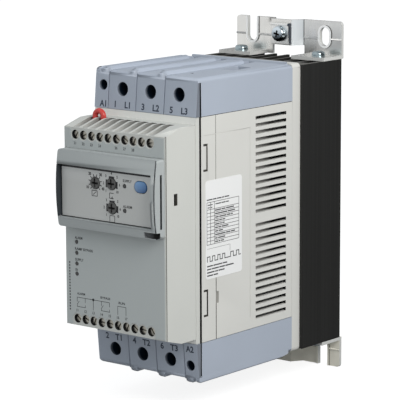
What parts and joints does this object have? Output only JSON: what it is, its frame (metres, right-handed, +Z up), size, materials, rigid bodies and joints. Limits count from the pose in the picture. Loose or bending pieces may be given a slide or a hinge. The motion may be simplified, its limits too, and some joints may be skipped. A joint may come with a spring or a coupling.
{
  "type": "soft starter",
  "caption": "Panel-mounted motor soft starter: vented housing with screw terminals at both ends, control module with dials and a reset button in front, finned heat sink with brackets behind.",
  "frame": {"origin": "on the panel face, midway between the two lower fixing slots", "axes": "+Z up the long side, -Y out of the front, +X to the right seen from the front; the panel is the plane y = 0"},
  "size_m": [0.079, 0.1715, 0.2108],
  "materials": {
    "anodised_aluminium": "black anodised extrusion, fine draw lines",
    "zinc_sheet": "bright zinc plated sheet",
    "zinc_sheet_dull": "zinc plated sheet, slightly dull",
    "plated_screw": "zinc plated",
    "dark_screw": "plated, dark in its hole",
    "clamp_steel": "plated steel",
    "copper": "bare copper strip",
    "white_plastic": "fine matte moulding",
    "off_white_plastic": "fine matte moulding",
    "blue_grey_plastic": "fine matte moulding",
    "grey_plastic": "fine matte moulding",
    "black_plastic": "matte moulding",
    "dial_plastic": "matte moulding",
    "blue_plastic": "satin moulding",
    "red_insulation": "glossy wire insulation",
    "blue_resin": "cast resin",
    "circuit_board": "lacquered board",
    "light_pipe": "smoky clear moulding",
    "grey_film": "printed film",
    "pale_grey_film": "printed film",
    "white_film": "satin paper film"
  },
  "bodies": {
    "starter": {"heat_sink": "anodised_aluminium", "upper_bracket": "zinc_sheet", "lower_bracket": "zinc_sheet_dull", "bracket_screws": "plated_screw", "earth_clamp_plate": "plated_screw", "earth_screw": "plated_screw", "rear_base": "white_plastic", "base_screws": "plated_screw", "thyristor_module_1": "black_plastic", "thyristor_module_2": "black_plastic", "thyristor_module_3": "black_plastic", "line_busbars": "copper", "load_busbars": "copper", "current_transformers": "blue_resin", "power_board": "circuit_board", "bypass_relays": "black_plastic", "housing_shell": "white_plastic", "upper_terminal_cover": "blue_grey_plastic", "lower_terminal_cover": "blue_grey_plastic", "line_clamps": "clamp_steel", "load_clamps": "clamp_steel", "line_clamp_screws": "plated_screw", "load_clamp_screws": "plated_screw", "supply_clamps": "clamp_steel", "supply_clamp_screws": "plated_screw", "rating_label": "white_film", "front_plate": "off_white_plastic", "board_connector": "black_plastic", "control_board": "circuit_board", "dial_board_header": "black_plastic", "module_housing": "off_white_plastic", "upper_control_clamps": "clamp_steel", "lower_control_clamps": "clamp_steel", "upper_control_screws": "dark_screw", "lower_control_screws": "dark_screw", "wire_link": "red_insulation", "upper_front_label": "grey_film", "lower_front_label": "grey_film", "status_lights": "light_pipe", "dial_board": "circuit_board", "dial_switches": "black_plastic", "reset_switch": "black_plastic", "front_cover": "grey_plastic", "dial_carrier": "black_plastic", "dial_plate": "pale_grey_film", "dial_lights_pair": "light_pipe"},
    "ramp_up_dial": {"ramp_up_dial": "dial_plastic"},
    "ramp_down_dial": {"ramp_down_dial": "dial_plastic"},
    "load_current_dial": {"load_current_dial": "dial_plastic"},
    "reset_button": {"reset_button": "blue_plastic"}
  },
  "joints": [
    {"name": "ramp_up_dial_turn", "type": "hinge", "parent": "starter", "child": "ramp_up_dial", "pos_m": [-0.0102, -0.167, 0.1196], "axis": [0, 1, 0], "range_deg": [-135, 135]},
    {"name": "ramp_down_dial_turn", "type": "hinge", "parent": "starter", "child": "ramp_down_dial", "pos_m": [0.0019, -0.167, 0.1203], "axis": [0, 1, 0], "range_deg": [-135, 135]},
    {"name": "load_current_dial_turn", "type": "hinge", "parent": "starter", "child": "load_current_dial", "pos_m": [0.0022, -0.167, 0.1067], "axis": [0, 1, 0], "range_deg": [-135, 135]},
    {"name": "reset_button_press", "type": "slide", "parent": "starter", "child": "reset_button", "axis": [0, 1, 0], "range_m": [0, 0.001], "stiffness_N_per_m": 1500}
  ]
}
